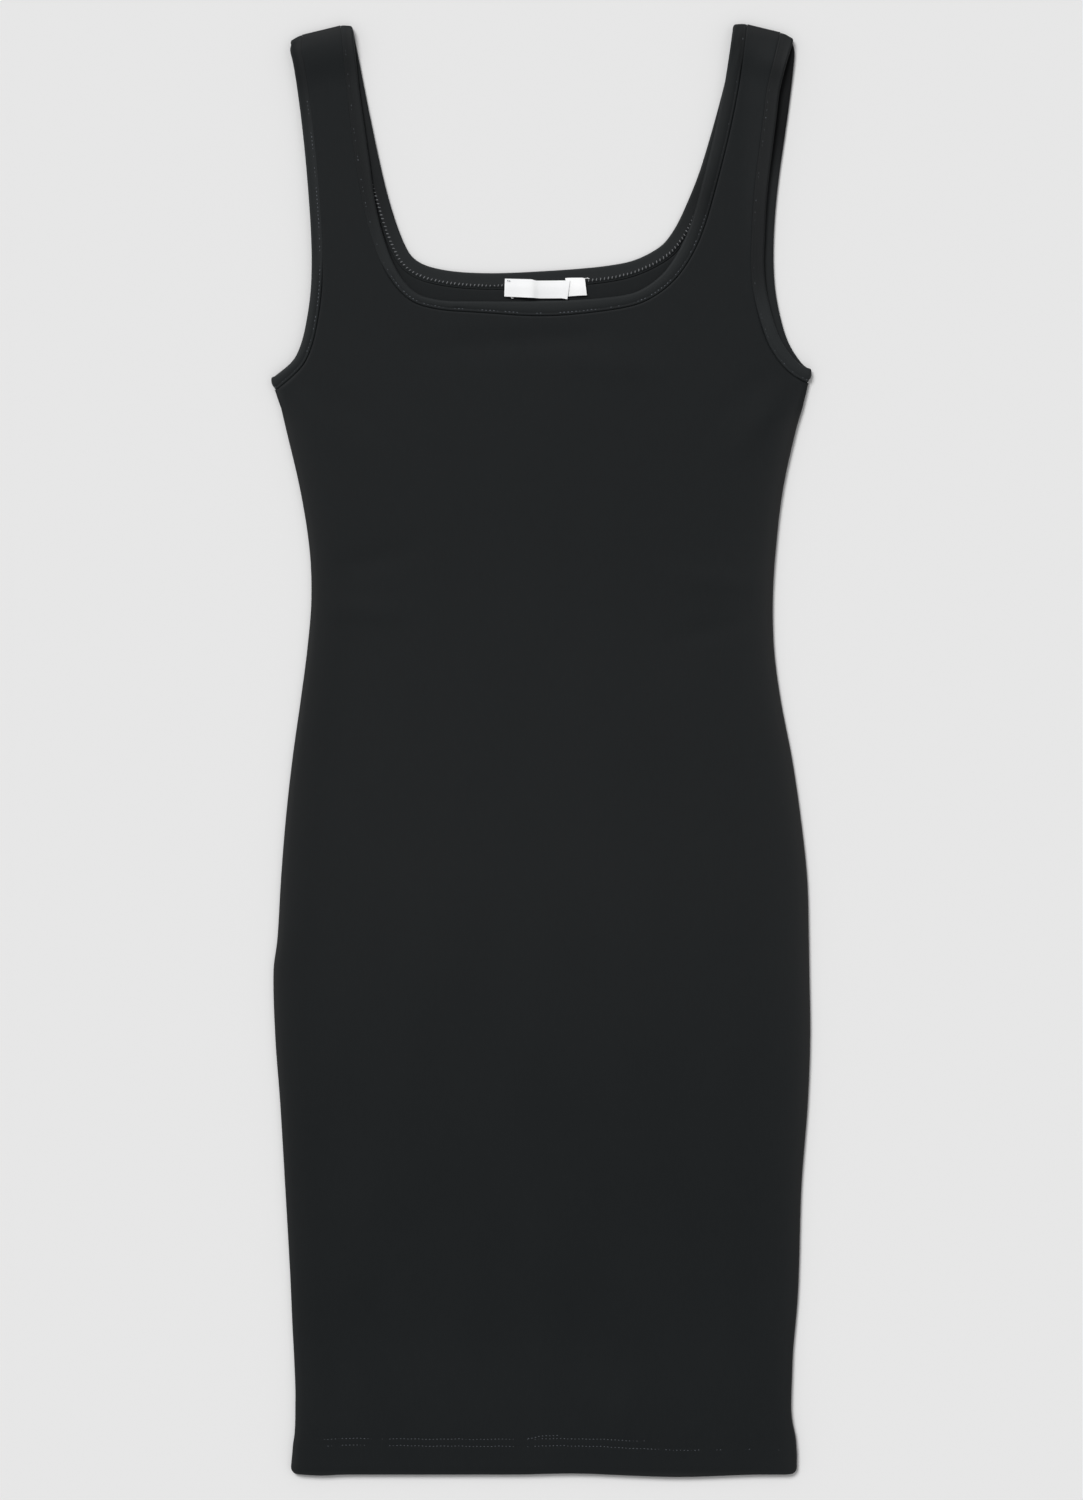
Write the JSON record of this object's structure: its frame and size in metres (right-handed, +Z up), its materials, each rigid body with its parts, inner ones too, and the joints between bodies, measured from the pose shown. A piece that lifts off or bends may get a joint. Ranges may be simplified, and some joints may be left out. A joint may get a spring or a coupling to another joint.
{
  "type": "bodycon dress",
  "caption": "Sleeveless bodycon dress with wide straps, a square scooped neck and banded openings, laid flat face up.",
  "frame": {"origin": "middle of the laid-out dress, on the surface it lies on", "axes": "+Y along the dress from hem to shoulders, +Z up out of its front, +X to the viewer's right"},
  "size_m": [0.3554, 0.9596, 0.0047],
  "materials": {
    "jersey": "fine matte stretch jersey",
    "band_jersey": "the same jersey folded double",
    "label_satin": "bare woven satin ribbon"
  },
  "bodies": {
    "root": {"front_panel": "jersey", "back_panel": "jersey", "neck_band": "band_jersey", "armhole_band_left": "band_jersey", "armhole_band_right": "band_jersey", "neck_label": "label_satin", "size_tab": "label_satin"}
  },
  "joints": []
}
